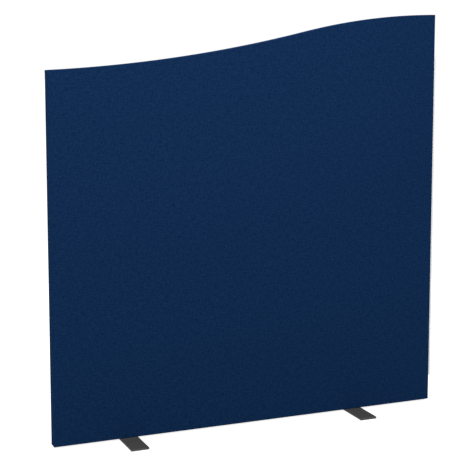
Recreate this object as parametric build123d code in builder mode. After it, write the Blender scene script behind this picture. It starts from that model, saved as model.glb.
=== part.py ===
"""A freestanding office screen: a wave-topped panel covered in cloth, on two flat steel feet.

Millimetres. The floor is z = 0, the front faces -Y, and the low end of the wave is on the left, at -X.
The origin is on the floor, under the middle of the whole screen, its linking strip included.
"""

import math
import os

from build123d import *

# The whole screen
panel_width = 1600.0
high_side_height = 1600.0  # floor to the top of the right-hand end
low_side_height = 1400.0  # floor to the top of the left-hand end
corner_radius = 3.0  # of the four covered corners, seen from the front

# The wave along the top is two arcs that meet at the turn
turn_along_share = 0.645  # of the width, from the low end
turn_up_share = 0.672  # of the rise, from the low side
turn_slope_share = 1.817  # slope at the turn, over the mean slope of the wave

# Layers, from the middle plane outwards
frame_thickness = 24.0
board_thickness = 3.0
foam_thickness = 3.0
cloth_thickness = 1.0
face_edge_radius = 2.0  # where the cloth turns from a face to an edge

# Timber frame
stile_width = 45.0
centre_stile_width = 45.0
bottom_rail_depth = 70.0
top_rail_depth = 68.0
cross_rail_depth = 45.0
cross_rail_height = 740.0  # floor to the middle of the cross rails
core_clearance = 0.5  # round each core, in its bay

# Dowels, two to a joint
dowel_radius = 4.0
dowel_length = 36.0
dowel_pitch = 22.0
dowel_clearance = 0.1
dowel_end_gap = 0.5
dowel_lead_in = 0.8

# Linking strip, pressed half way into a groove in the right-hand end
strip_thickness = 3.8
strip_inserted = 18.0
strip_proud = 18.0
strip_length = 1330.0
strip_lower_end = 105.0  # floor to the strip's lower end
strip_edge_radius = 1.2
strip_wall = 1.0
strip_chambers = 3
strip_web = 1.4  # between two chambers

# Groove in both ends and the top edge, which also holds the turned-in cloth
slot_clearance = 0.3  # each side of the strip
groove_floor_clearance = 2.0  # past the strip's inner edge
hem_tuck = 10.0  # cloth turned into the groove, from the panel's edge
hem_gap = 12.0  # between the two hems under the bottom rail

# Welt that closes the groove along the top edge
welt_recess = 2.0
welt_depth = 6.0
welt_clearance = 0.1
welt_edge_break = 0.7

# Flat steel feet
foot_width = 70.0
foot_length = 300.0
foot_thickness = 8.0
foot_edge_break = 0.6
left_foot_inset = 293.0  # left-hand end to the middle of the left foot
right_foot_inset = 352.0  # right-hand end to the middle of the right foot

# Countersunk socket screws, two to a foot, and the threaded inserts that take them
screw_radius = 3.0
screw_length = 20.0
screw_head_radius = 6.0
screw_pitch = 32.0
screw_clearance = 0.3
screw_lead_in = 0.75
socket_across_flats = 4.0
socket_depth = 2.4
countersink_angle = 90.0
insert_radius = 5.0
insert_length = 13.0
insert_rim = 0.6
thread_clearance = 0.1
insert_clearance = 0.05

# Staples that hold the hems under the bottom rail
staple_crown = 10.0
staple_leg = 8.0
staple_wire = 0.9
staple_pitch = 110.0
staple_margin = 60.0  # from each end of the panel
staple_row_offset = 9.2  # from the middle plane

cut_overrun = 5.0  # past a face, so that a cut leaves no skin

# Worked out from the sizes above
rise = high_side_height - low_side_height
panel_thickness = frame_thickness + 2 * (board_thickness + foam_thickness + cloth_thickness)
slot_width = strip_thickness + 2 * slot_clearance
groove_width = slot_width + 2 * cloth_thickness
groove_depth = strip_inserted + groove_floor_clearance
overall_width = panel_width + strip_proud

x_left = -overall_width / 2
x_right = x_left + panel_width
x_centre = (x_left + x_right) / 2
z_panel = foot_thickness
z_frame = z_panel + cloth_thickness
z_bay = z_frame + bottom_rail_depth

x_left_bay = x_left + cloth_thickness + stile_width
x_right_bay = x_right - cloth_thickness - stile_width
x_centre_left = x_centre - centre_stile_width / 2
x_centre_right = x_centre + centre_stile_width / 2
z_cross_bottom = cross_rail_height - cross_rail_depth / 2
z_cross_top = cross_rail_height + cross_rail_depth / 2
z_above = max(high_side_height, low_side_height) + cut_overrun  # clear of the whole wave

x_left_foot = x_left + left_foot_inset
x_right_foot = x_right - right_foot_inset

# The turn of the wave, and the direction of the wave there
turn = Vector(x_left + turn_along_share * panel_width, low_side_height + turn_up_share * rise)
turn_angle = math.atan(turn_slope_share * rise / panel_width)
along_wave = Vector(math.cos(turn_angle), math.sin(turn_angle))
across_wave = Vector(-math.sin(turn_angle), math.cos(turn_angle))


def wave_height(x):
    """Height of the panel's top edge above the floor, at x."""
    if x < turn.X:
        end = Vector(x_left, low_side_height)
    else:
        end = Vector(x_right, high_side_height)
    chord = end - turn
    radius = chord.dot(chord) / (2 * chord.dot(across_wave))
    centre = turn + across_wave * radius
    return centre.Y - math.copysign(math.sqrt(radius**2 - (x - centre.X) ** 2), radius)


def below_wave(drop):
    """The area between the floor and the wave, with the wave lowered by drop."""
    down = Vector(0, -drop)
    low_end = Vector(x_left, low_side_height) + down
    high_end = Vector(x_right, high_side_height) + down
    with BuildSketch() as area:
        with BuildLine():
            TangentArc(turn + down, low_end, tangent=-along_wave)
            TangentArc(turn + down, high_end, tangent=along_wave)
            Polyline(low_end, (x_left, 0), (x_right, 0), high_end)
        make_face()
    return area.sketch


def upright(x_from, x_to, z_from, z_to):
    """A rectangle between two places along the panel and two heights."""
    with BuildSketch() as area:
        with Locations(((x_from + x_to) / 2, (z_from + z_to) / 2)):
            Rectangle(x_to - x_from, z_to - z_from)
    return area.sketch


def panel_outline(inset):
    """The panel's outline seen from the front, drawn in by inset, with rounded corners."""
    with BuildSketch() as area:
        add(below_wave(inset))
        add(
            upright(x_left + inset, x_right - inset, z_panel + inset, z_above),
            mode=Mode.INTERSECT,
        )
        ends = area.vertices().group_by(Axis.X)
        fillet(ends[0] + ends[-1], corner_radius - inset)
    return area.sketch


cover_area = panel_outline(0)
frame_area = panel_outline(cloth_thickness)
inside_area = below_wave(cloth_thickness + top_rail_depth)

# What the edge groove leaves of the panel: it runs up both ends and along the top, not underneath
with BuildSketch() as grooved:
    add(below_wave(groove_depth))
    add(
        upright(x_left + groove_depth, x_right - groove_depth, 0, z_above),
        mode=Mode.INTERSECT,
    )

with BuildPart() as edge_groove:
    with BuildSketch(Plane.XZ):
        add(upright(x_left - cut_overrun, x_right + cut_overrun, 0, z_above))
        add(grooved.sketch, mode=Mode.SUBTRACT)
    extrude(amount=groove_width / 2, both=True)

# Joints of the frame: dowels lie along the panel in most, and stand in those of the centre stile
z_bottom_joint = z_frame + bottom_rail_depth / 2
lying_joints = [
    (x_left_bay, z_bottom_joint),
    (x_right_bay, z_bottom_joint),
    (x_left_bay, cross_rail_height),
    (x_centre_left, cross_rail_height),
    (x_centre_right, cross_rail_height),
    (x_right_bay, cross_rail_height),
]
for x_joint in (x_left_bay, x_right_bay):
    z_groove_floor = wave_height(x_joint) - groove_depth
    z_rail_underside = wave_height(x_joint) - cloth_thickness - top_rail_depth
    lying_joints.append((x_joint, (z_groove_floor + z_rail_underside) / 2))
z_top_joint = wave_height(x_centre) - cloth_thickness - top_rail_depth

lying_dowels = [
    Location((x, 0, z + side * dowel_pitch / 2), (0, 90, 0))
    for x, z in lying_joints
    for side in (-1, 1)
]
standing_dowels = [
    Location((x_centre + side * dowel_pitch / 2, 0, z))
    for z in (z_bay, z_top_joint)
    for side in (-1, 1)
]

with BuildPart() as dowels:
    with Locations(*lying_dowels, *standing_dowels):
        Cylinder(dowel_radius, dowel_length)
    chamfer(dowels.edges().filter_by(GeomType.CIRCLE), dowel_lead_in)

with BuildPart() as dowel_holes:
    with Locations(*lying_dowels, *standing_dowels):
        Cylinder(dowel_radius + dowel_clearance, dowel_length + 2 * dowel_end_gap)

# Timber frame
with BuildPart() as left_stile:
    with BuildSketch(Plane.XZ):
        add(frame_area)
        add(upright(x_left, x_left_bay, 0, z_above), mode=Mode.INTERSECT)
    extrude(amount=frame_thickness / 2, both=True)
    add(edge_groove.part, mode=Mode.SUBTRACT)
    add(dowel_holes.part, mode=Mode.SUBTRACT)

with BuildPart() as right_stile:
    with BuildSketch(Plane.XZ):
        add(frame_area)
        add(upright(x_right_bay, x_right, 0, z_above), mode=Mode.INTERSECT)
    extrude(amount=frame_thickness / 2, both=True)
    add(edge_groove.part, mode=Mode.SUBTRACT)
    add(dowel_holes.part, mode=Mode.SUBTRACT)

with BuildPart() as top_rail:
    with BuildSketch(Plane.XZ):
        add(frame_area)
        add(upright(x_left_bay, x_right_bay, 0, z_above), mode=Mode.INTERSECT)
        add(inside_area, mode=Mode.SUBTRACT)
    extrude(amount=frame_thickness / 2, both=True)
    add(edge_groove.part, mode=Mode.SUBTRACT)
    add(dowel_holes.part, mode=Mode.SUBTRACT)

screw_places = [
    (x_foot + side * screw_pitch / 2, 0) for x_foot in (x_left_foot, x_right_foot) for side in (-1, 1)
]

with BuildPart() as bottom_rail:
    with BuildSketch(Plane.XZ):
        add(upright(x_left_bay, x_right_bay, z_frame, z_bay))
    extrude(amount=frame_thickness / 2, both=True)
    add(dowel_holes.part, mode=Mode.SUBTRACT)
    with BuildSketch(Plane.XY.offset(z_frame)):
        with Locations(*screw_places):
            Circle(insert_radius + insert_clearance)
    extrude(amount=max(insert_length, screw_length - z_frame) + dowel_end_gap, mode=Mode.SUBTRACT)

with BuildPart() as centre_stile:
    with BuildSketch(Plane.XZ):
        add(inside_area)
        add(upright(x_centre_left, x_centre_right, z_bay, z_above), mode=Mode.INTERSECT)
    extrude(amount=frame_thickness / 2, both=True)
    add(dowel_holes.part, mode=Mode.SUBTRACT)

with BuildPart() as left_cross_rail:
    with BuildSketch(Plane.XZ):
        add(upright(x_left_bay, x_centre_left, z_cross_bottom, z_cross_top))
    extrude(amount=frame_thickness / 2, both=True)
    add(dowel_holes.part, mode=Mode.SUBTRACT)

with BuildPart() as right_cross_rail:
    with BuildSketch(Plane.XZ):
        add(upright(x_centre_right, x_right_bay, z_cross_bottom, z_cross_top))
    extrude(amount=frame_thickness / 2, both=True)
    add(dowel_holes.part, mode=Mode.SUBTRACT)


# Light cores that fill the four bays of the frame
def core_outline(x_from, x_to, z_from, z_to):
    """The outline of one core, clear of the rails and stiles round its bay."""
    with BuildSketch() as area:
        add(below_wave(cloth_thickness + top_rail_depth + core_clearance))
        add(
            upright(
                x_from + core_clearance,
                x_to - core_clearance,
                z_from + core_clearance,
                z_to - core_clearance,
            ),
            mode=Mode.INTERSECT,
        )
    return area.sketch


with BuildPart() as lower_left_core:
    with BuildSketch(Plane.XZ):
        add(core_outline(x_left_bay, x_centre_left, z_bay, z_cross_bottom))
    extrude(amount=frame_thickness / 2, both=True)

with BuildPart() as lower_right_core:
    with BuildSketch(Plane.XZ):
        add(core_outline(x_centre_right, x_right_bay, z_bay, z_cross_bottom))
    extrude(amount=frame_thickness / 2, both=True)

with BuildPart() as upper_left_core:
    with BuildSketch(Plane.XZ):
        add(core_outline(x_left_bay, x_centre_left, z_cross_top, z_above))
    extrude(amount=frame_thickness / 2, both=True)

with BuildPart() as upper_right_core:
    with BuildSketch(Plane.XZ):
        add(core_outline(x_centre_right, x_right_bay, z_cross_top, z_above))
    extrude(amount=frame_thickness / 2, both=True)

# Boards and foam on both faces
with BuildPart() as front_board:
    with BuildSketch(Plane.XZ.offset(frame_thickness / 2)):
        add(frame_area)
    extrude(amount=board_thickness)

with BuildPart() as back_board:
    mirror(front_board.part, about=Plane.XZ)

with BuildPart() as front_foam:
    with BuildSketch(Plane.XZ.offset(frame_thickness / 2 + board_thickness)):
        add(frame_area)
    extrude(amount=foam_thickness)
    fillet(front_foam.faces().sort_by(Axis.Y)[0].edges(), face_edge_radius - cloth_thickness)

with BuildPart() as back_foam:
    mirror(front_foam.part, about=Plane.XZ)

# Each cover wraps its face and half of every edge, and its hem turns into the groove
with BuildPart() as cover_filling:
    with BuildSketch(Plane.XZ.offset(groove_width / 2)):
        add(frame_area)
    extrude(amount=(panel_thickness - groove_width) / 2 - cloth_thickness)
    fillet(cover_filling.faces().sort_by(Axis.Y)[0].edges(), face_edge_radius - cloth_thickness)

with BuildPart() as front_cover:
    with BuildSketch(Plane.XZ.offset(slot_width / 2)):
        add(cover_area)
    extrude(amount=(panel_thickness - slot_width) / 2)
    fillet(front_cover.faces().sort_by(Axis.Y)[0].edges(), face_edge_radius)
    add(cover_filling.part, mode=Mode.SUBTRACT)
    with BuildSketch(Plane.XZ):
        add(below_wave(hem_tuck))
        add(
            upright(x_left + hem_tuck, x_right - hem_tuck, 0, z_above),
            mode=Mode.INTERSECT,
        )
    extrude(amount=hem_gap / 2, mode=Mode.SUBTRACT)

with BuildPart() as back_cover:
    mirror(front_cover.part, about=Plane.XZ)

with BuildPart() as top_welt:
    with BuildSketch(Plane.XZ):
        add(below_wave(welt_recess))
        add(below_wave(welt_recess + welt_depth), mode=Mode.SUBTRACT)
        add(
            upright(x_left + groove_depth, x_right - groove_depth, 0, z_above),
            mode=Mode.INTERSECT,
        )
    extrude(amount=slot_width / 2 - welt_clearance, both=True)
    welt_faces = top_welt.faces().sort_by(Axis.Y)
    upper_arcs = [
        side_face.edges().filter_by(GeomType.CIRCLE).sort_by(Axis.Z)[-2:]
        for side_face in (welt_faces[0], welt_faces[-1])
    ]
    chamfer(upper_arcs[0] + upper_arcs[1], welt_edge_break)

# Linking strip: a hollow flat extrusion that stands half out of the right-hand end
strip_width = strip_inserted + strip_proud
x_strip = x_right + (strip_proud - strip_inserted) / 2
chamber_width = (strip_width - 2 * strip_wall - (strip_chambers - 1) * strip_web) / strip_chambers

with BuildPart() as link_strip:
    with BuildSketch(Plane.XY.offset(strip_lower_end)):
        with Locations((x_strip, 0)):
            RectangleRounded(strip_width, strip_thickness, strip_edge_radius)
            with GridLocations(chamber_width + strip_web, 0, strip_chambers, 1):
                RectangleRounded(
                    chamber_width,
                    strip_thickness - 2 * strip_wall,
                    strip_wall / 2,
                    mode=Mode.SUBTRACT,
                )
    extrude(amount=strip_length)


# Steel feet and their fixings
def foot(x_foot):
    """A flat bar across the panel, countersunk from below for its two screws."""
    with BuildPart() as bar:
        with BuildSketch(Plane.XY):
            with Locations((x_foot, 0)):
                Rectangle(foot_width, foot_length)
        extrude(amount=foot_thickness)
        chamfer(bar.edges(), foot_edge_break)
        with Locations(Plane((x_foot, 0, 0), x_dir=(1, 0, 0), z_dir=(0, 0, -1))):
            with GridLocations(screw_pitch, 0, 2, 1):
                CounterSinkHole(
                    screw_radius + screw_clearance,
                    screw_head_radius + screw_clearance,
                    depth=foot_thickness,
                    counter_sink_angle=countersink_angle,
                )
    return bar


left_foot = foot(x_left_foot)
right_foot = foot(x_right_foot)

head_taper = countersink_angle / 2
head_depth = (screw_head_radius - screw_radius) / math.tan(math.radians(head_taper))

with BuildPart() as one_screw:
    with BuildSketch(Plane.XY):
        Circle(screw_head_radius)
    extrude(amount=head_depth, taper=head_taper)
    with BuildSketch(Plane.XY):
        Circle(screw_radius)
    extrude(amount=screw_length)
    chamfer(one_screw.faces().sort_by(Axis.Z)[-1].edges(), screw_lead_in)
    with BuildSketch(Plane.XY):
        RegularPolygon(socket_across_flats / 2, 6, major_radius=False)
    extrude(amount=socket_depth, mode=Mode.SUBTRACT)

with BuildPart() as foot_screws:
    with Locations(*screw_places):
        add(one_screw.part)

with BuildPart() as threaded_inserts:
    with BuildSketch(Plane.XY.offset(z_frame)):
        with Locations(*screw_places):
            Circle(insert_radius)
            Circle(screw_radius + thread_clearance, mode=Mode.SUBTRACT)
    extrude(amount=insert_length)
    rims = threaded_inserts.edges().filter_by(GeomType.CIRCLE).group_by(SortBy.RADIUS)[-1]
    chamfer(rims, insert_rim)

# Staples along both hems, none above a foot
staple_count = 1 + int((panel_width - 2 * staple_margin) / staple_pitch)
staple_start = x_centre - (staple_count - 1) * staple_pitch / 2
staple_xs = [
    x
    for x in (staple_start + n * staple_pitch for n in range(staple_count))
    if min(abs(x - x_left_foot), abs(x - x_right_foot)) > (foot_width + staple_crown) / 2 + staple_wire
]
staple_places = [(x, side * staple_row_offset) for x in staple_xs for side in (-1, 1)]

with BuildPart() as hem_staples:
    with BuildSketch(Plane.XY.offset(z_panel - staple_wire)):
        with Locations(*staple_places):
            Rectangle(staple_crown, staple_wire)
    extrude(amount=staple_wire)
    with BuildSketch(Plane.XY.offset(z_panel)):
        with Locations(*staple_places):
            with GridLocations(staple_crown - staple_wire, 0, 2, 1):
                Rectangle(staple_wire, staple_wire)
    extrude(amount=staple_leg)

pieces = {
    "bottom_rail": bottom_rail,
    "top_rail": top_rail,
    "left_stile": left_stile,
    "right_stile": right_stile,
    "centre_stile": centre_stile,
    "left_cross_rail": left_cross_rail,
    "right_cross_rail": right_cross_rail,
    "lower_left_core": lower_left_core,
    "lower_right_core": lower_right_core,
    "upper_left_core": upper_left_core,
    "upper_right_core": upper_right_core,
    "front_board": front_board,
    "back_board": back_board,
    "front_foam": front_foam,
    "back_foam": back_foam,
    "front_cover": front_cover,
    "back_cover": back_cover,
    "top_welt": top_welt,
    "link_strip": link_strip,
    "left_foot": left_foot,
    "right_foot": right_foot,
    "foot_screws": foot_screws,
    "threaded_inserts": threaded_inserts,
    "dowels": dowels,
    "hem_staples": hem_staples,
}

os.makedirs("parts", exist_ok=True)
for name, piece in pieces.items():
    piece.part.label = name
    export_step(piece.part, f"parts/{name}.step")
    print(f"{name}: {len(piece.solids())} solid(s), {piece.part.volume / 1000:.1f} cm3")
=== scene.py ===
# %% [markdown]
# A wave-topped office screen
#
# This lesson dresses one measured object: a freestanding screen of the kind that stands between desks. It
# is a flat panel wrapped in navy cloth, with a wave along its top, and it stands on two flat steel bars.
# The measured solids come first and never move. Everything after them is cloth, finish and light.

import math

import bmesh
import bpy
import numpy as np
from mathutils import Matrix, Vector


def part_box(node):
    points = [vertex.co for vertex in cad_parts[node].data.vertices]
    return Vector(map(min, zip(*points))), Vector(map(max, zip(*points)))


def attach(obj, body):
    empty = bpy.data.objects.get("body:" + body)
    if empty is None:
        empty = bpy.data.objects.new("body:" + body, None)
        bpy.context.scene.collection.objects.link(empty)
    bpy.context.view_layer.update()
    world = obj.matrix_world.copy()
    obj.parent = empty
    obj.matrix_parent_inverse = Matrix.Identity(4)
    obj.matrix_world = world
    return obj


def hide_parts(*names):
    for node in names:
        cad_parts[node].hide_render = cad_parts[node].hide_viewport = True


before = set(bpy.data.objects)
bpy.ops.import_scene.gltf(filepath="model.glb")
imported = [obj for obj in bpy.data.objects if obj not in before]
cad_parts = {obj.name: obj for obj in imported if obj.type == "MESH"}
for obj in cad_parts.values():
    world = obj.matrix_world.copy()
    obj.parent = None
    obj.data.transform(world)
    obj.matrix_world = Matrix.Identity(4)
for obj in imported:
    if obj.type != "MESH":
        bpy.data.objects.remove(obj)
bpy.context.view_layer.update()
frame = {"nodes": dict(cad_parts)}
nodes = frame["nodes"]

# %% [markdown]
# Sizes
#
# The cloth has to follow the solids to a fraction of a millimetre, so the sizes come from their boxes
# where a box can give them. The rest are the ones that the solids were made with, in metres: the low
# end's height, the turn of the wave as shares of the width and the rise, the rounding of the panel's
# corners and of the edges of its faces, half the width of the groove, and half the gap between the two
# hems underneath.

# %% Sizes
cover_low, cover_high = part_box("front_cover")
x_low, x_high = cover_low.x, cover_high.x
z_bottom, high_side = cover_low.z, cover_high.z
half_thickness = -cover_low.y
width = x_high - x_low

low_side = 1.4
turn_along_share, turn_up_share, turn_slope_share = 0.645, 0.672, 1.817
corner_radius = 0.003
edge_radius = 0.002
slot_half = 0.0022
hem_gap_half = 0.006

millimetres = 1000
print(f"panel {width:.3f} m wide, {2 * half_thickness * millimetres:.0f} mm thick, {high_side:.3f} m high")

# %% [markdown]
# The camera
#
# The camera comes first, because every later choice is judged through it. A photograph of a box-shaped
# thing can be solved for its camera: the panel's outline and the feet were measured in the picture, and a
# lens, a place and a direction were fitted until the solids fell on them. The upright edges are exactly
# parallel in the picture, as they are through a shifted lens. The whole of that shift would push the
# screen out of the frame once the camera goes round it, so this lens is shifted as far as every side
# allows, and the camera looks down a little for the rest.

# %% The camera
camera_place = (-1.9271, -4.4399, 1.5691)
lens_millimetres, lens_shift = 97.09, -0.118
look_right, look_down = math.radians(22.591), math.radians(7.058)
sensor_millimetres = 36

camera_data = bpy.data.cameras.new("studio_camera")
camera_data.sensor_width = sensor_millimetres
camera_data.lens = lens_millimetres
camera_data.shift_y = lens_shift
camera = bpy.data.objects.new("studio_camera", camera_data)
camera.location = camera_place
camera.rotation_euler = (math.pi / 2 - look_down, 0, -look_right)
bpy.context.scene.collection.objects.link(camera)
bpy.context.scene.camera = camera
print("camera lens", camera_data.lens, "mm at", camera_place)

# %% [markdown]
# A small language for shader maths
#
# A pattern is a sum: so much of this noise, one minus that mask. Laid out as nodes by hand, such a sum is
# long and hard to read. The class below wraps one socket, and each operator adds the Math node that it
# stands for, so that `1 - mask * 0.5` is the pattern and the node tree at once. Colours don't go through
# it, because a Math node turns a colour grey. They have `blend` instead.

# %% Wrap a socket
class Signal:
    """One number that varies over a surface, ready to be used in a sum."""

    def __init__(self, nodes, socket):
        self.nodes, self.socket = nodes, socket

    def maths(self, operation, first, second=0.0):
        return self.nodes.add("ShaderNodeMath", {"operation": operation}, {0: first, 1: second})

    def __add__(self, other):
        return self.maths("ADD", self, other)

    def __radd__(self, other):
        return self.maths("ADD", other, self)

    def __sub__(self, other):
        return self.maths("SUBTRACT", self, other)

    def __rsub__(self, other):
        return self.maths("SUBTRACT", other, self)

    def __mul__(self, other):
        return self.maths("MULTIPLY", self, other)

    def __rmul__(self, other):
        return self.maths("MULTIPLY", other, self)

    def power(self, exponent):
        return self.maths("POWER", self, exponent)

    def sine(self):
        return self.maths("SINE", self)


# %% [markdown]
# Every node is made by one method, `add`, from its type, its settings and its sockets, in that order,
# because some settings change which sockets there are. The sky and the materials share it, so it has a
# class of its own. A Mix node has sockets for numbers, vectors and colours under the same names, so
# `blend` picks its colour sockets by their numbers.


# %% The nodes of a sky or a material
class Nodes:
    """The node tree of one material, or of the sky."""

    def __init__(self, tree):
        self.tree = tree
        tree.nodes.clear()

    def put(self, socket, value):
        """Gives a socket a plain value, or a link where the value is another node's."""
        if isinstance(value, Signal):
            self.tree.links.new(value.socket, socket)
        elif socket.type == "RGBA":
            socket.default_value = (*value, 1)
        else:
            socket.default_value = value

    def add(self, kind, settings=None, sockets=None, output=0):
        """Makes a node and gives back one output, by its name or number, or "all" of them in a list."""
        node = self.tree.nodes.new(kind)
        for name, value in (settings or {}).items():
            setattr(node, name, value)
        for name, value in (sockets or {}).items():
            self.put(node.inputs[name], value)
        if output == "all":
            return [Signal(self, socket) for socket in node.outputs]
        return Signal(self, node.outputs[output])

    def place(self, map_name=None):
        """The place on the piece, in metres, or on its flat cloth where a map is named."""
        if map_name:
            return self.add("ShaderNodeUVMap", {"uv_map": map_name})
        return self.add("ShaderNodeTexCoord", output="Object")

    def stretched(self, place, x=1.0, y=1.0, z=1.0):
        """The same place with its axes scaled, for grain that runs one way."""
        return self.add("ShaderNodeMapping", sockets={"Vector": place, "Scale": (x, y, z)})

    def noise(self, place, per_metre=1.0, detail=2.0, roughness=0.5, output=0):
        """Soft random clouds, so many to the metre, or as many as a stretched place already has."""
        sockets = {"Vector": place, "Scale": per_metre, "Detail": detail, "Roughness": roughness}
        return self.add("ShaderNodeTexNoise", sockets=sockets, output=output)

    def ramp(self, signal, low, high):
        """0 below low, 1 above high, and smooth between them."""
        sockets = {"Value": signal, "From Min": low, "From Max": high}
        return self.add("ShaderNodeMapRange", {"interpolation_type": "SMOOTHSTEP"}, sockets)

    def blend(self, share, first, second):
        """One colour turning into another as the share goes from 0 to 1."""
        first_colour, second_colour, mixed_colour = 6, 7, 2
        sockets = {"Factor": share, first_colour: first, second_colour: second}
        return self.add("ShaderNodeMix", {"data_type": "RGBA"}, sockets, output=mixed_colour)

    def seen_directly(self):
        """1 where the camera, a gloss or a clear surface looks, and 0 where light is only passed on."""
        kinds = ("Camera", "Glossy", "Transmission")
        camera_ray, gloss_ray, clear_ray = (
            self.add("ShaderNodeLightPath", output=f"Is {kind} Ray") for kind in kinds
        )
        return 1 - (1 - camera_ray) * (1 - gloss_ray) * (1 - clear_ray)


print("node language ready")

# %% [markdown]
# A finish is one material with its shader ready. What is the same all over the surface is set on the
# shader's own sockets, and what changes over it is linked to the colour, the roughness or the bumps. The
# colour and roughness that a finish starts with are about its average, for a viewer that can't work out
# its nodes. In the sums further down, the number before each pattern is its share, and a number that
# stands alone is what is left where every pattern is 0.


# %% A finish
class Finish(Nodes):
    """A material for one real surface."""

    def __init__(self, name, colour, roughness, **plain):
        self.material = bpy.data.materials.new(name)
        self.material.use_nodes = True
        super().__init__(self.material.node_tree)
        surface = self.add("ShaderNodeBsdfPrincipled")
        self.shader = surface.socket.node
        self.add("ShaderNodeOutputMaterial", sockets={"Surface": surface}, output="all")
        self.colour(colour)
        self.roughness(roughness)
        for socket, value in plain.items():
            self.put(self.shader.inputs[socket.replace("_", " ")], value)

    def colour(self, value):
        self.put(self.shader.inputs["Base Color"], value)

    def roughness(self, value):
        self.put(self.shader.inputs["Roughness"], value)

    def relief(self, height, depth, strength=1.0):
        """Bumps from a height that goes from 0 to 1 over the given depth, in metres."""
        sockets = {"Height": height, "Distance": depth, "Strength": strength}
        self.put(self.shader.inputs["Normal"], self.add("ShaderNodeBump", sockets=sockets))


print("finishes ready")

# %% [markdown]
# Floor and backdrop
#
# The picture has a pure white ground. More light would bleach the cloth too, so the white is in the floor
# and the world instead: to the camera, and to glossy and clear surfaces, they glow at a strength of about
# 1. The floor glows a little less than that and keeps a plain matt part, which still takes the screen's
# shadow.

# %% The floor
floor_mesh = bpy.data.meshes.new("studio_floor")
floor_reach = 30.0
floor_corners = [(x * floor_reach, y * floor_reach, 0) for x, y in ((-1, -1), (1, -1), (1, 1), (-1, 1))]
floor_mesh.from_pydata(floor_corners, [], [(0, 1, 2, 3)])
studio_floor = bpy.data.objects.new("studio_floor", floor_mesh)
bpy.context.scene.collection.objects.link(studio_floor)

floor_grey, floor_glow = (0.55, 0.55, 0.55), (0.84, 0.84, 0.84)
floor_finish = Finish("floor_white", floor_grey, 1.0, Specular_IOR_Level=0.0, Emission_Strength=1.0)
glow = floor_finish.blend(floor_finish.seen_directly(), (0, 0, 0), floor_glow)
floor_finish.put(floor_finish.shader.inputs["Emission Color"], glow)
floor_mesh.materials.append(floor_finish.material)
print("floor", 2 * floor_reach, "m across")

# %% [markdown]
# Light
#
# Plain studio light: an even sky all round, and one long soft lamp high on each side of the screen. The
# sky could be a picture of a studio, but an even white one shows each colour as it was mixed. It has one
# strength for the light that it gives and another for how it looks, so that the ground can be white in a
# mild light.

# %% The sky
world = bpy.data.worlds.new("studio_sky")
bpy.context.scene.world = world
world.use_nodes = True
sky = Nodes(world.node_tree)
sky_light, sky_glow = 0.55, 1.02
soft_light = sky.add("ShaderNodeBackground", sockets={"Color": (1, 1, 1), "Strength": sky_light})
plain_white = sky.add("ShaderNodeBackground", sockets={"Color": (1, 1, 1), "Strength": sky_glow})
either = sky.add("ShaderNodeMixShader", sockets={0: sky.seen_directly(), 1: soft_light, 2: plain_white})
sky.add("ShaderNodeOutputWorld", sockets={"Surface": either}, output="all")
print("sky lights at", sky_light, "and glows at", sky_glow)

# %% [markdown]
# A small lamp would draw a hard bright spot, so each lamp is a wide softbox. One that is nearer the top
# than the bottom makes the cloth a little darker towards the floor, as in the picture. The one behind is
# for the back, which is seen as often as the front. The Standard view then shows every colour as it is
# written.


# %% The lamps
def soft_lamp(name, place, aim, size, watts):
    """A soft rectangular lamp that points from its place to its aim."""
    lamp = bpy.data.lights.new(name, "AREA")
    lamp.shape = "RECTANGLE"
    lamp.size, lamp.size_y = size
    lamp.energy = watts
    holder = bpy.data.objects.new(name, lamp)
    holder.location = place
    direction = Vector(aim) - Vector(place)
    holder.rotation_euler = direction.to_track_quat("-Z", "Y").to_euler()
    bpy.context.scene.collection.objects.link(holder)
    print(name, watts, "W")


panel_middle, softbox_size = (0.0, 0.0, 1.0), (4.0, 1.0)
soft_lamp("front_softbox", place=(-0.5, -2.6, 3.0), aim=panel_middle, size=softbox_size, watts=90)
soft_lamp("back_softbox", place=(0.5, 2.6, 3.0), aim=panel_middle, size=softbox_size, watts=80)

bpy.context.scene.view_settings.view_transform = "Standard"

# %% [markdown]
# The cloth's finish
#
# Screen cloth is a close crepe weave. At each crossing either thread may lie on top, in no order that the
# eye can find, so the face is pebbled and has no lines in it. It is dyed one colour, with slightly paler
# and darker fibres mixed in, and from across a room it is a fine speckle. A weave could be modelled
# thread by thread, but a screen has some three million crossings on each face. Here the cloth's flat cut
# is divided into one square for each crossing, and a random number for each square says which thread is
# on top. A slow noise pushes the squares about, as no thread lies quite straight. The squares are laid
# out in metres on the flat cut, so the weave runs round the edges with the cloth. A slight sheen stands
# for the fine fibres that stick out of the yarn and catch the light at a low angle. Of the values below,
# `wander` is how far the squares are pushed, in metres, `either_thread` the even chance at which one
# thread or the other is on top, and `dive` how suddenly the upper thread dips at the ends of its
# crossing. The shares say how much of each pattern shows in the colour, and `usual_sum` brings the colour
# back to the middle between the dark fibre and the pale one.
# The weave's share in the colour is painted shade: it darkens the cloth where the threads dip at the edges
# of each crossing.

# %% Crepe cloth
navy, navy_roughness = (0.0058, 0.0236, 0.0742), 0.95
dark_fibre, pale_fibre = (0.0013, 0.0138, 0.0571), (0.0103, 0.0335, 0.0923)
fibre_sheen = {"Sheen_Weight": 0.2, "Sheen_Roughness": 0.35, "Sheen_Tint": (0.12, 0.35, 0.85)}
cloth_map = "cloth_lay"
threads_per_metre, heather_per_metre, wanders_per_metre = 1150.0, 130.0, 320.0
wander = 0.0007
streaks_along, streaks_across = 40.0, 240.0
either_thread = (0.49, 0.51)
dive = 0.3
tone_share, weave_shade_share, heather_share, streak_share = 0.34, 0.40, 1.16, 0.75
usual_sum = 1.11
low_crossing, weave_depth, weave_strength = 0.55, 0.0003, 0.6
least_roughness, roughness_spread = 0.90, 0.08


def round_thread(across):
    """0 at both edges of a thread and 1 along its top, where across counts threads."""
    return 0.5 - 0.5 * (across * math.tau + math.pi / 2).sine()


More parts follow.
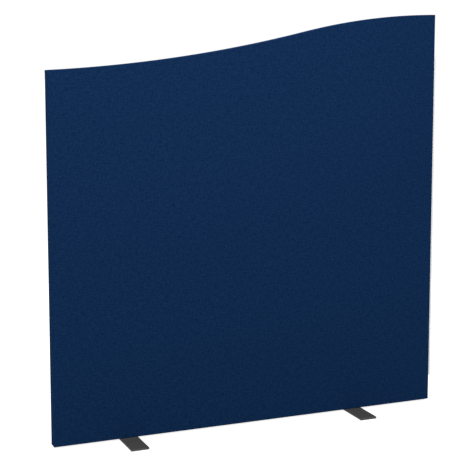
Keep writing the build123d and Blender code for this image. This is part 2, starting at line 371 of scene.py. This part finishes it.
def crepe_cloth(name):
    """Navy crepe: heather and streaks for the yarn, and one random square for each crossing."""
    finish = Finish(name, navy, navy_roughness, Specular_IOR_Level=0.0, **fibre_sheen)
    place = finish.place(map_name=cloth_map)
    heather = finish.noise(place, heather_per_metre, detail=3.0)
    slubs = finish.noise(finish.stretched(place, streaks_along, streaks_across))
    picks = finish.noise(finish.stretched(place, streaks_across, streaks_along))

    push = finish.noise(place, wanders_per_metre, detail=1.0, output="Color")
    pushing = {0: push, 1: (wander, wander, 0), 2: place}
    pushed = finish.add("ShaderNodeVectorMath", {"operation": "MULTIPLY_ADD"}, pushing)
    threads = finish.stretched(pushed, threads_per_metre, threads_per_metre)
    crossing = finish.add("ShaderNodeVectorMath", {"operation": "FLOOR"}, {0: threads})
    flat_noise = {"noise_dimensions": "2D"}
    chance = finish.add("ShaderNodeTexWhiteNoise", flat_noise, {"Vector": crossing}, output="Color")
    toss, tone, lift = finish.add("ShaderNodeSeparateColor", sockets={0: chance}, output="all")

    along, across, _ = finish.add("ShaderNodeSeparateXYZ", sockets={0: threads}, output="all")
    warp_on_top = finish.ramp(toss, *either_thread)
    warp, weft = round_thread(along), round_thread(across)
    weave = warp_on_top * warp * weft.power(dive) + (1 - warp_on_top) * weft * warp.power(dive)
    # The weave's share is painted shade, darker where the threads dip between crossings.
    lightness = tone_share * tone + weave_shade_share * weave + heather_share * heather
    lightness = lightness + streak_share * slubs + streak_share * picks - usual_sum
    finish.colour(finish.blend(lightness, dark_fibre, pale_fibre))
    finish.relief(weave * (low_crossing + (1 - low_crossing) * lift), weave_depth, weave_strength)
    finish.roughness(least_roughness + roughness_spread * tone)
    return finish


cloth_finish = crepe_cloth("navy_crepe")
print("cloth", cloth_finish.material.name)

# %% [markdown]
# The line of the wave
#
# The top is two arcs that meet with the same slope, a shallow hollow from the low end and a rounder crown
# towards the high end. Both arcs follow from the ends and the turn, so the cloth needs no points from the
# solids.

# %% Height and slope of the wave
turn_x = x_low + turn_along_share * width
turn_z = low_side + turn_up_share * (high_side - low_side)
turn_slope = math.atan(turn_slope_share * (high_side - low_side) / width)


def arc_through(end_x, end_z):
    """Centre and signed radius of the arc from the turn to one end, along the turn's slope."""
    chord = np.array([end_x - turn_x, end_z - turn_z])
    across = np.array([-math.sin(turn_slope), math.cos(turn_slope)])
    radius = chord @ chord / (2 * chord @ across)
    return np.array([turn_x, turn_z]) + across * radius, radius


hollow, crown = arc_through(x_low, low_side), arc_through(x_high, high_side)


def wave(x):
    """Height of the top edge at x, and how much it leans there, as an angle."""
    x = np.asarray(x, float)
    height, lean = np.empty_like(x), np.empty_like(x)
    for part, (centre, radius) in ((x < turn_x, hollow), (x >= turn_x, crown)):
        reach = np.sqrt(radius**2 - (x[part] - centre[0]) ** 2)
        height[part] = centre[1] - math.copysign(1, radius) * reach
        lean[part] = np.arctan2(math.copysign(1, radius) * (x[part] - centre[0]), reach)
    return height, lean


print("wave at the ends and the middle", wave([x_low, 0.0, x_high])[0].round(4))

# %% [markdown]
# One flat sheet, wrapped
#
# Each face of the panel has its own cloth, pulled over the foam and round the edges. At the ends and
# along the top it turns into a narrow groove, and underneath it is stapled to the rail. A box with a
# cloth material would have hard corners and a weave cut off at each edge. Here the sheet is one grid for
# the face, with rings of points that carry it round each edge, and every point also knows its place on
# the flat cut.


# %% Places along one side of the sheet
def stops(length, step=0.024, fine_step=0.001, fine_count=14):
    """Distances from one end, close together at both ends, where the corners turn and the pleats lie."""
    fine = np.concatenate([[0.0, fine_step / 2], np.arange(1, fine_count + 1) * fine_step])
    count = round((length - 2 * fine[-1]) / step) + 1
    middle = np.linspace(fine[-1], length - fine[-1], count)
    return np.concatenate([fine[:-1], middle, (length - fine[:-1])[::-1]])


def face_grid(inset):
    """The flat part of a face: x and z of a grid whose border is the outline drawn in by inset."""
    x = x_low + inset + stops(width - 2 * inset)
    share = stops(high_side - z_bottom - 2 * inset) / (high_side - z_bottom - 2 * inset)
    height, lean = wave(x)
    top = height - inset / np.cos(lean)
    z = (z_bottom + inset) + share[:, None] * (top - z_bottom - inset)
    return np.broadcast_to(x, z.shape).copy(), z, lean


print(len(stops(width)), "stops across")

# %% [markdown]
# The grid's four corners are square, and cloth turns a corner in a small arc. So the border points within
# two steps of a corner are moved on to an arc, and each border point is told which way is out of the
# sheet. It is also told how far it is underneath, from 0 to 1, because the cloth is finished in another
# way there.

# %% The border of the grid, with its rounded corners
mostly_down = -0.5


def border_of(rows, columns):
    """Row and column of each border point, anticlockwise from the bottom left."""
    bottom = [(0, c) for c in range(columns - 1)]
    right = [(r, columns - 1) for r in range(rows - 1)]
    top = [(rows - 1, c) for c in range(columns - 1, 0, -1)]
    left = [(r, 0) for r in range(rows - 1, 0, -1)]
    return np.array(bottom + right + top + left)


def rounded_border(x, z, lean, radius, reach=2):
    """Rounds the grid's corners in place, and gives the way out of the sheet at each border point."""
    rows, columns = x.shape
    border = border_of(rows, columns)
    count = len(border)
    at = np.stack([x[tuple(border.T)], z[tuple(border.T)]], 1)
    corners = np.cumsum([0, columns - 1, rows - 1, columns - 1])
    _, low_right, high_right, high_left = corners
    way = np.empty_like(at)
    way[:low_right] = (0, -1)
    way[low_right:high_right] = (1, 0)
    way[high_right:high_left] = np.stack([-np.sin(lean), np.cos(lean)], 1)[:0:-1]
    way[high_left:] = (-1, 0)
    underneath = (way[:, 1] < mostly_down).astype(float)
    for corner in corners:
        before, after = (corner - reach) % count, (corner + reach) % count
        angles = np.unwrap([math.atan2(*way[before][::-1]), math.atan2(*way[after][::-1])])
        centres = at[before] - radius * way[before], at[after] - radius * way[after]
        ends = underneath[before], underneath[after]
        for step in range(-reach, reach + 1):
            share = (step + reach) / (2 * reach)
            angle = angles[0] + share * (angles[1] - angles[0])
            point = (corner + step) % count
            way[point] = math.cos(angle), math.sin(angle)
            at[point] = centres[0] + share * (centres[1] - centres[0]) + radius * way[point]
            underneath[point] = ends[0] + share * (ends[1] - ends[0])
    x[tuple(border.T)], z[tuple(border.T)] = at.T
    return border, at, way, underneath


print("border helper ready")

# %% [markdown]
# The path of the cloth over an edge is a short list of steps: how far out from the face's border, and how
# far from the middle plane. One list turns into the groove, and the other runs under the rail to a folded
# hem. They have the same number of steps, so the corners can pass smoothly from one to the other. Sagging
# cloth would need a simulation, but this cloth is pulled tight over wood, so its path is known.

# %% The two paths over an edge
turns = np.radians([15, 30, 45, 60, 75, 90])
over_edge = [(edge_radius * math.sin(a), half_thickness - edge_radius * (1 - math.cos(a))) for a in turns]

end_start, end_stop, end_steps = 0.0145, 0.0045, 8
end_depths = np.linspace(end_start, end_stop, end_steps)
lip_radius = 0.0012
lip_turns = np.radians([0, 25, 50, 70, 90])
tucks = (0.0030, 0.0080)
groove_lip = [
    (edge_radius - lip_radius * (1 - math.cos(a)), slot_half + lip_radius * (1 - math.sin(a)))
    for a in lip_turns
]
tucked_in = [(-tuck, slot_half) for tuck in tucks]
into_groove = [(edge_radius, depth) for depth in end_depths] + groove_lip + tucked_in

rail_start, rail_stop, rail_steps = 0.0147, 0.0066, 11
rail_depths = np.linspace(rail_start, rail_stop, rail_steps)
fold_steps = ((0.0002, 0.0001), (0.0004, 0.0), (0.0007, 0.0003))
raw_edge_rise, raw_edge_depth = 0.0008, 0.0100
folded_hem = [(edge_radius - rise, hem_gap_half + back) for rise, back in fold_steps]
folded_hem.append((edge_radius - raw_edge_rise, raw_edge_depth))
under_rail = [(edge_radius, depth) for depth in rail_depths] + folded_hem

groove_path = np.array([(0, half_thickness)] + over_edge + into_groove)
rail_path = np.array([(0, half_thickness)] + over_edge + under_rail)
print(len(groove_path), "steps over an edge")

# %% [markdown]
# Where the hem bunches up in the groove at a corner, several points of a ring land in one place, and the
# faces between them have no area. Such faces spoil an exported mesh, so every piece is cleaned as it is
# made: points in one place become one, and what has no area left goes. A sheet has two maps of its flat
# cut: one in metres, for the weave, and one from 0 to 1, for baking its finish on to.

# %% Build a mesh piece with its flat lay
same_place = 0.00001
bake_map = "OFBake"


def joined_up(mesh):
    """Joins the points that lie in one place, and drops the faces that have no area left."""
    surface = bmesh.new()
    surface.from_mesh(mesh)
    bmesh.ops.remove_doubles(surface, verts=surface.verts, dist=same_place)
    bmesh.ops.dissolve_degenerate(surface, edges=surface.edges, dist=same_place)
    surface.to_mesh(mesh)
    surface.free()


def mesh_piece(name, points, faces, finish, lay=None):
    """A smooth-shaded mesh with its finish, and for a sheet the place of each point on the flat cut."""
    mesh = bpy.data.meshes.new(name)
    mesh.from_pydata([tuple(p) for p in points], [], [tuple(f) for f in faces])
    mesh.shade_smooth()
    if lay is not None:
        flat = np.asarray(lay, np.float32)
        corners = np.empty(len(mesh.loops), np.int32)
        mesh.loops.foreach_get("vertex_index", corners)
        even = (flat - flat.min(axis=0)) / np.ptp(flat, axis=0).max()
        for map_name, places in ((cloth_map, flat), (bake_map, even)):
            mesh.uv_layers.new(name=map_name).data.foreach_set("uv", places[corners].ravel())
    joined_up(mesh)
    mesh.materials.append(finish.material)
    piece = bpy.data.objects.new(name, mesh)
    bpy.context.scene.collection.objects.link(piece)
    print(name, len(mesh.vertices), "points,", len(mesh.polygons), "faces")
    return piece


def grid_faces(rows, columns, start=0):
    """The faces of a grid whose points are numbered row by row from start."""
    index = start + np.arange(rows * columns).reshape(rows, columns)
    return np.stack([index[:-1, :-1], index[:-1, 1:], index[1:, 1:], index[1:, :-1]], -1).reshape(-1, 4)


def ring_faces(ring, new_ring):
    """The faces that join one ring of points to the next."""
    return np.stack([ring, new_ring, np.roll(new_ring, -1), np.roll(ring, -1)], 1)


print("mesh helpers ready")

# %% [markdown]
# Cloth over thin foam isn't as flat as the board behind it. A long, shallow swell of up to three tenths
# of a millimetre is enough for the light to catch, and it dies away towards the edges, where the cloth is
# pulled tight. Three sine waves that run different ways give a swell with no rows in it.

# %% The swell of cloth over foam
swell_height, tight_border, tight_curve = 0.00005, 0.12, 1.5
swell_waves = ((11.0, 5.3, 0.7), (-13.7, 7.1, 2.1), (4.0, 23.0, 0.0))


def swell(x, z):
    """How far the cloth stands from its flat face, in metres, always inwards or level."""
    long_waves = sum(np.sin(across * x + up * z + start) for across, up, start in swell_waves)
    top = wave(x)[0]
    to_edge = np.minimum(np.minimum(x - x_low, x_high - x), np.minimum(z - z_bottom, top - z))
    tight = np.clip((to_edge - edge_radius) / tight_border, 0, 1) ** tight_curve
    return swell_height * (len(swell_waves) + long_waves) * tight


near_middle = np.array([0.0]), np.array([0.8])
print("swell near the middle", round(float(swell(*near_middle)[0] * millimetres), 3), "mm")

# %% [markdown]
# Flat cloth can't go round a corner without a fold. At each corner the spare cloth is laid over on the
# end of the panel as a pleat, whose edge slants from the face towards the groove. It could be simulated,
# but a pleat that is pulled tight is simple: the cloth rises slowly to twice its thickness and drops
# again at the fold.

# %% Pleats at the corners
pleat_height = 0.0011
pleat_near, pleat_far = 0.006, 0.0125
pleat_drop = 0.0010
facing_end = 0.99


def pleat(at, way, out, deep):
    """How far the border points of one step stand out for a pleat, for their place and depth."""
    across = np.clip((half_thickness - deep) / (half_thickness - slot_half), 0, 1)
    fold = pleat_near + across * (pleat_far - pleat_near)
    to_corner = np.minimum(at[:, 1] - z_bottom, wave(at[:, 0])[0] - at[:, 1])
    rising = np.clip(to_corner / fold, 0, 1)
    dropping = np.clip((fold + pleat_drop - to_corner) / pleat_drop, 0, 1)
    on_end = np.abs(way[:, 0]) > facing_end
    return pleat_height * rising * dropping * on_end * np.clip(out / edge_radius, 0, 1)


print("pleats stand out", pleat_height * millimetres, "mm")

# %% [markdown]
# Now the sheet can be wrapped. The face comes first, and then one ring of points for each step of the
# path, joined to the ring before it. A ring follows the rail's path underneath and the groove's path
# everywhere else, and each point is held inside the outline, so that the cloth can't fold through itself
# where the path turns in. The back is the same sheet made on the other side. Its flat lay is mirrored,
# and moved a few metres along, so that its weave is another piece of the same cloth.

# %% Wrap the sheet
back_lay_shift = (4.0, 3.0)


def with_run(path):
    """A path with a third column: how much cloth each step has used, from the face's border on."""
    run = np.cumsum(np.hypot(*np.diff(path, axis=0).T))
    return np.column_stack([path, np.concatenate([[0], run])])


def wrapped_sheet(side):
    """Points, faces and flat lay of one cover. side is -1 for the front and 1 for the back."""
    x, z, lean = face_grid(edge_radius)
    border, at, way, underneath = rounded_border(x, z, lean, corner_radius - edge_radius)
    face_points = np.stack([x, side * (half_thickness - swell(x, z)), z], -1).reshape(-1, 3)
    points, lays, faces = [face_points], [face_points[:, [0, 2]]], [grid_faces(*x.shape)]
    ring, first_new = border @ (x.shape[1], 1), len(face_points)
    for to_groove, to_rail in zip(with_run(groove_path)[1:], with_run(rail_path)[1:]):
        out, deep, run = (1 - underneath) * to_groove[:, None] + underneath * to_rail[:, None]
        place = at + way * np.maximum(out, edge_radius - corner_radius)[:, None]
        inside = np.maximum(edge_radius - out, 0)
        place[:, 0] = np.clip(place[:, 0], x_low + inside, x_high - inside)
        place[:, 1] = np.minimum(place[:, 1], wave(place[:, 0])[0] - inside)
        place += way * pleat(at, way, out, deep)[:, None]
        points.append(np.stack([place[:, 0], side * deep, place[:, 1]], 1))
        lays.append(at + way * run[:, None])
        new_ring = first_new + np.arange(len(border))
        faces.append(ring_faces(ring, new_ring))
        ring, first_new = new_ring, first_new + len(border)
    faces, lay = np.concatenate(faces), np.concatenate(lays)
    if side > 0:
        faces = faces[:, ::-1]
        lay = lay * (-1, 1) + back_lay_shift
    return np.concatenate(points), faces, lay


print("sheet helper ready")

# %% [markdown]
# Both covers are made here, and the size and the area that they were cut to are printed. The area
# comes from the sheet's own flat lay, face by face.


# %% The two covers
def flat_area(faces, lay):
    """Area of the flat cut, from the lay of its faces."""
    corners = lay[faces]
    following = np.roll(corners, -1, axis=1)
    cross = corners[..., 0] * following[..., 1] - corners[..., 1] * following[..., 0]
    return float(abs(cross.sum()) / 2)


for name, side, node, board in (
    ("front_cloth", -1, "front_cover", "front_board"),
    ("back_cloth", 1, "back_cover", "back_board"),
):
    points, faces, lay = wrapped_sheet(side)
    cloth = mesh_piece(name, points, faces, cloth_finish, lay)
    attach(cloth, "panel")
    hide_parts(node)
    cut, area = np.ptp(lay, axis=0), flat_area(faces, lay)
    print(name, "cut", cut.round(3), "m, area", round(area, 3), "m2")

# %% [markdown]
# Foam
#
# Between the cloth and the board lies a thin sheet of grey foam. Nobody sees it until the cover comes
# off, but it is why the edges are soft. It is the same grid as the cloth, one cloth's thickness further
# in, and closed behind. Its finish is a fine Voronoi pattern, since cut foam shows the cells that it was
# blown into. The colour is darker towards the rim of each cell, where the relief is low: painted shade in
# the hollows between the cells.

# %% Foam finish
foam_grey, pale_foam, shaded_foam = (0.50, 0.50, 0.48), (0.58, 0.58, 0.56), (0.40, 0.40, 0.385)
cells_in_foam = 900.0

foam_finish = Finish("grey_foam", foam_grey, roughness=0.95, Specular_IOR_Level=0.2)
foam_place = foam_finish.place()
foam_pattern = {"Vector": foam_place, "Scale": cells_in_foam}
foam_cells = foam_finish.add("ShaderNodeTexVoronoi", {"feature": "F1"}, foam_pattern, output="Distance")
foam_patches = foam_finish.noise(foam_place, per_metre=9.0, detail=3.0)
# Painted shade: darker towards each cell's rim, where the relief is low, over slow clouds of real tone.
foam_tone_and_shade = 0.55 * foam_cells + 0.5 * foam_patches
foam_finish.colour(foam_finish.blend(foam_tone_and_shade, pale_foam, shaded_foam))
foam_finish.relief(1 - foam_cells, depth=0.0005, strength=0.5)
print("foam finish ready")

# %% [markdown]
# A pad could be a plain box, but the corners of a box would come through the cloth. So its border is
# rounded as the cloth's is, and its edge turns back to the board on a smaller arc. The back edge is eased
# by a tenth of a millimetre, because cut foam has no sharp corner.


# %% Foam pads
def foam_pad(side):
    """Points and faces of one closed pad. side is -1 for the front and 1 for the back."""
    cloth_thickness, board_face, eased = 0.001, 0.015, 0.0001
    face_y = half_thickness - cloth_thickness
    round_edge = edge_radius - cloth_thickness
    x, z, lean = face_grid(edge_radius)
    border, at, way, _ = rounded_border(x, z, lean, corner_radius - edge_radius)
    outer = np.stack([x, side * (face_y - swell(x, z)), z], -1).reshape(-1, 3)
    ring, first_new = border @ (x.shape[1], 1), len(outer)
    points, faces = [outer], [grid_faces(*x.shape)]
    path = [(round_edge * math.sin(a), face_y - round_edge * (1 - math.cos(a))) for a in turns]
    for out, deep in path + [(round_edge, board_face + eased), (round_edge - eased, board_face)]:
        place = at + way * out
        points.append(np.stack([place[:, 0], np.full(len(at), side * deep), place[:, 1]], 1))
        new_ring = first_new + np.arange(len(border))
        faces.append(ring_faces(ring, new_ring))
        ring, first_new = new_ring, first_new + len(border)
    points.append(np.stack([x, np.full_like(x, side * board_face), z], -1).reshape(-1, 3))
    faces.append(grid_faces(*x.shape, first_new)[:, ::-1])
    faces.append(ring_faces(ring, first_new + border @ (x.shape[1], 1)))
    faces = np.concatenate(faces)
    return np.concatenate(points), faces[:, ::-1] if side > 0 else faces


for name, side, node in (("front_foam_pad", -1, "front_foam"), ("back_foam_pad", 1, "back_foam")):
    pad = mesh_piece(name, *foam_pad(side), finish=foam_finish)
    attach(pad, "panel")
    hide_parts(node)

# %% [markdown]
# The welt
#
# Along the top, a soft bead is pressed into the groove after the cloth, so that the two covers meet in a
# clean line. The solid has a plain chamfered section. A real bead is drawn through a round die, so this
# one is swept along the wave with a rounded top. It is matt, because a gloss would mirror the white sky
# at the low angles from which the groove is seen, and a navy bead would look grey.

# %% Welt finish
welt_navy = (0.0054, 0.0205, 0.0620)
dark_welt, pale_welt = (0.0034, 0.0150, 0.0480), (0.0074, 0.0260, 0.0760)
drawn_along = (3.0, 900.0, 900.0)

welt_finish = Finish("navy_welt", welt_navy, roughness=0.72, Specular_IOR_Level=0.06)
welt_place = welt_finish.place()
welt_grain = welt_finish.noise(welt_place, per_metre=1400.0)
welt_streaks = welt_finish.noise(welt_finish.stretched(welt_place, *drawn_along))
welt_finish.colour(welt_finish.blend(welt_streaks, dark_welt, pale_welt))
welt_finish.roughness(0.64 + 0.16 * welt_grain)
welt_finish.relief(0.5 * welt_grain + 0.5 * welt_streaks, depth=0.00008, strength=0.5)
print("welt finish ready")

# %% [markdown]
# The bead could be a curve with a bevel. Here one section is copied at even steps along the wave instead,
# because that keeps its sides upright, as the groove's sides are, and lets its foot be square.

# %% The bead, swept along the wave
welt_low, welt_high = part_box("top_welt")
bead_half = welt_high.y
bead_top, bead_bottom = 0.002, 0.008
bead_middle = (bead_bottom + bead_top + bead_half) / 2
turns_over_top, steps_along = 13, 131

top_turns = np.radians(np.linspace(0, 180, turns_over_top))
bead_section = (
    [(bead_half, bead_bottom), (bead_half, bead_middle)]
    + [(bead_half * math.cos(a), bead_top + bead_half * (1 - math.sin(a))) for a in top_turns]
    + [(-bead_half, bead_middle), (-bead_half, bead_bottom)]
)
bead_x = np.linspace(welt_low.x, welt_high.x, steps_along)
bead_points = [(x, y, top - drop) for x, top in zip(bead_x, wave(bead_x)[0]) for y, drop in bead_section]
loops = np.arange(len(bead_points)).reshape(steps_along, -1)
following = np.roll(loops, -1, axis=1)
bead_sides = np.stack([loops[1:], following[1:], following[:-1], loops[:-1]], -1).reshape(-1, 4)
bead = mesh_piece("welt_bead", bead_points, [*bead_sides, loops[0], loops[-1][::-1]], finish=welt_finish)
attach(bead, "panel")
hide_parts("top_welt")

# %% [markdown]
# Steel feet
#
# The feet are flat steel bar with a dark grey powder coat. The measured bars keep their shape, and only
# need the coat. Powder flows out to a fine orange peel, so the sheen breaks up into small soft spots,
# over slow clouds where the coat lies thicker or thinner. Three sizes of noise give that without a
# picture of it.

# %% Powder coat
coat_grey = (0.063, 0.062, 0.058)
dark_coat, pale_coat = (0.0528, 0.0515, 0.0483), (0.0756, 0.0738, 0.0692)

powder_finish = Finish("grey_powder_coat", coat_grey, roughness=0.62, Specular_IOR_Level=0.35)
powder_place = powder_finish.place()
peel = powder_finish.noise(powder_place, per_metre=900.0, roughness=0.6)
powder_specks = powder_finish.noise(powder_place, per_metre=2400.0, detail=1.0)
powder_clouds = powder_finish.noise(powder_place, per_metre=22.0, detail=3.0)
powder_tone = 0.35 * powder_specks + 0.65 * powder_clouds
powder_finish.colour(powder_finish.blend(powder_tone, dark_coat, pale_coat))
powder_finish.roughness(0.54 + 0.14 * peel + 0.06 * powder_clouds)
powder_finish.relief(0.6 * peel + 0.4 * powder_specks, depth=0.00012, strength=0.6)
print("powder coat ready")

# %% [markdown]
# The linking strip
#
# A hollow strip in the end groove joins this screen to the next one. It is white plastic, drawn out in
# long lengths through a die, which leaves faint lines along it. Fine noise, stretched along the strip,
# draws those lines on the measured solid, and larger clouds stand for the marks of hands.

# %% White extrusion
strip_white, dull_white, clean_white = (0.93, 0.94, 0.945), (0.91, 0.922, 0.926), (0.95, 0.957, 0.96)
drawn_upright = (1600.0, 1600.0, 2.0)

strip_finish = Finish("white_extrusion", strip_white, roughness=0.42, Specular_IOR_Level=0.8)
strip_place = strip_finish.place()
die_lines = strip_finish.noise(strip_finish.stretched(strip_place, *drawn_upright))
handling = strip_finish.noise(strip_place, per_metre=16.0, detail=4.0)
strip_tone = 0.4 * die_lines + 0.6 * handling
strip_finish.colour(strip_finish.blend(strip_tone, dull_white, clean_white))
strip_finish.roughness(0.34 + 0.10 * die_lines + 0.08 * handling)
strip_finish.relief(die_lines, depth=0.00005, strength=0.5)
print("strip finish ready")

# %% [markdown]
# Inside the panel
#
# The frame is planed softwood, so its rails and its stiles show grain that runs along them. The grain is
# a sine across the piece that a slow noise pushes about, which is how growth rings look on a sawn face.
# The same pattern serves both ways of the grain, drawn out along x or upwards.

# %% Timber
planed_wood, early_wood, late_wood = (0.55, 0.38, 0.21), (0.66, 0.49, 0.29), (0.42, 0.25, 0.12)
ring_scales, fibre_scales = (1.1, 22.0), (9.0, 900.0)
rings_in_drift, ring_contrast = 60.0, 1.6


def grained(finish, place, scales, along_x):
    """The place with its axes scaled for grain along x, or else up. scales are along and across it."""
    along, across = scales
    return finish.stretched(place, *((along, across, across) if along_x else (across, across, along)))


def sawn_timber(name, along_x):
    """Planed softwood whose grain runs along x, or else up."""
    finish = Finish(name, planed_wood, roughness=0.62, Specular_IOR_Level=0.3)
    place = finish.place()
    drift = finish.noise(grained(finish, place, ring_scales, along_x), detail=4.0, roughness=0.6)
    fibres = finish.noise(grained(finish, place, fibre_scales, along_x))
    rings = 0.5 + 0.5 * (drift * rings_in_drift).sine()
    wood_tone = 0.65 * rings.power(ring_contrast) + 0.30 * fibres
    finish.colour(finish.blend(wood_tone, early_wood, late_wood))
    finish.roughness(0.52 + 0.2 * fibres)
    finish.relief(0.4 * rings + 0.6 * fibres, depth=0.0002, strength=0.5)
    return finish


rail_timber, stile_timber = sawn_timber("rail_timber", True), sawn_timber("stile_timber", False)
print("timber ready")

# %% [markdown]
# A board on each side of the frame carries the foam. Hardboard is pressed wood fibre: dark, even and
# dense, with short fibres that lie every way. So its noise isn't stretched, and has fine detail over slow
# clouds.

# %% Hardboard
board_brown, dark_board, pale_board = (0.28, 0.17, 0.09), (0.20, 0.115, 0.058), (0.38, 0.24, 0.135)

board_finish = Finish("hardboard", board_brown, roughness=0.5, Specular_IOR_Level=0.4)
board_place = board_finish.place()
board_fibres = board_finish.noise(board_place, per_metre=420.0, detail=5.0, roughness=0.7)
board_clouds = board_finish.noise(board_place, per_metre=7.0, detail=3.0)
board_tone = 0.6 * board_fibres + 0.4 * board_clouds
board_finish.colour(board_finish.blend(board_tone, dark_board, pale_board))
board_finish.roughness(0.42 + 0.2 * board_fibres)
board_finish.relief(board_fibres, depth=0.00015, strength=0.4)
print("hardboard ready")

# %% [markdown]
# The core is kraft paper expanded into a honeycomb. The solid stands for the whole block, so the finish
# draws the cell walls on it: edges of a nearly regular Voronoi pattern, with the hollows between them in
# shade.

# %% Kraft honeycomb
kraft_brown, lit_wall, dark_hollow = (0.42, 0.29, 0.17), (0.50, 0.36, 0.22), (0.16, 0.10, 0.055)
cells_in_core, cell_unevenness = 62.0, 0.35
wall_edge, hollow_edge = 0.03, 0.09

core_finish = Finish("kraft_honeycomb", kraft_brown, roughness=0.85, Specular_IOR_Level=0.2)
core_place = core_finish.place()
through_core = core_finish.stretched(core_place, y=0.0)
cell_pattern = {"Vector": through_core, "Scale": cells_in_core, "Randomness": cell_unevenness}
wall_distance = core_finish.add("ShaderNodeTexVoronoi", {"feature": "DISTANCE_TO_EDGE"}, cell_pattern)
hollow_share = core_finish.ramp(wall_distance, wall_edge, hollow_edge)
paper_fibres = core_finish.noise(core_place, per_metre=700.0, detail=3.0)
core_tone = hollow_share * (0.75 + 0.25 * paper_fibres)
core_finish.colour(core_finish.blend(core_tone, lit_wall, dark_hollow))
core_finish.relief(1 - hollow_share, depth=0.004, strength=0.8)
core_finish.roughness(0.78 + 0.15 * paper_fibres)
print("honeycomb ready")

# %% [markdown]
# Small metal and the dowels
#
# Zinc plate is pale and slightly patchy, brass is warmer and brighter where it was turned, staple wire
# has lines drawn along it, and beech dowels have a fine even fleck. Each gets the least that makes it
# read as itself, and the three metals share one recipe with other colours and another stretch.


# %% Bare metals
def metal(name, dark, pale, roughness_range, scales):
    """A bare metal whose marks run one way, for scales that differ."""
    smooth, rough = roughness_range
    finish = Finish(name, pale, rough, Metallic=1.0)
    marks = finish.noise(finish.stretched(finish.place(), *scales), detail=3.0, roughness=0.6)
    finish.colour(finish.blend(marks, dark, pale))
    finish.roughness(smooth + (rough - smooth) * marks)
    finish.relief(marks, depth=0.00005, strength=0.4)
    return finish


dark_zinc, pale_zinc, patchy = (0.38, 0.39, 0.41), (0.62, 0.63, 0.65), (420.0, 420.0, 420.0)
dark_brass, pale_brass, turned_round = (0.62, 0.44, 0.17), (0.80, 0.62, 0.30), (60.0, 60.0, 2600.0)
dark_wire, pale_wire, drawn_wire = (0.42, 0.42, 0.44), (0.66, 0.66, 0.68), (300.0, 2600.0, 300.0)

zinc_finish = metal("zinc_plate", dark_zinc, pale_zinc, (0.28, 0.46), patchy)
brass_finish = metal("turned_brass", dark_brass, pale_brass, (0.22, 0.40), turned_round)
wire_finish = metal("staple_wire", dark_wire, pale_wire, (0.26, 0.44), drawn_wire)
print("metals ready")

# %% Beech
beech_brown, dark_fleck, pale_fleck = (0.62, 0.44, 0.27), (0.52, 0.35, 0.20), (0.70, 0.52, 0.33)
fleck_scales = (320.0, 900.0, 320.0)

beech_finish = Finish("beech_dowel", beech_brown, roughness=0.6, Specular_IOR_Level=0.3)
beech_fleck = beech_finish.noise(beech_finish.stretched(beech_finish.place(), *fleck_scales), detail=3.0)
beech_finish.colour(beech_finish.blend(beech_fleck, dark_fleck, pale_fleck))
beech_finish.roughness(0.5 + 0.2 * beech_fleck)
beech_finish.relief(beech_fleck, depth=0.0001, strength=0.4)
print("beech ready")

# %% [markdown]
# Every measured solid gets its finish here. That holds for the solids that a piece of cloth, foam or bead
# replaces too, so that nothing in the model is left without one.

# %% Give each solid its finish
finishes = {
    "bottom_rail": rail_timber,
    "top_rail": rail_timber,
    "left_cross_rail": rail_timber,
    "right_cross_rail": rail_timber,
    "left_stile": stile_timber,
    "right_stile": stile_timber,
    "centre_stile": stile_timber,
    "lower_left_core": core_finish,
    "lower_right_core": core_finish,
    "upper_left_core": core_finish,
    "upper_right_core": core_finish,
    "front_board": board_finish,
    "back_board": board_finish,
    "front_foam": foam_finish,
    "back_foam": foam_finish,
    "front_cover": cloth_finish,
    "back_cover": cloth_finish,
    "top_welt": welt_finish,
    "link_strip": strip_finish,
    "left_foot": powder_finish,
    "right_foot": powder_finish,
    "foot_screws": zinc_finish,
    "threaded_inserts": brass_finish,
    "dowels": beech_finish,
    "hem_staples": wire_finish,
}
for node, finish in finishes.items():
    for material_slot in nodes[node].material_slots:
        material_slot.material = finish.material
missing = sorted(set(nodes) - set(finishes))
print("solids with no finish:", missing)
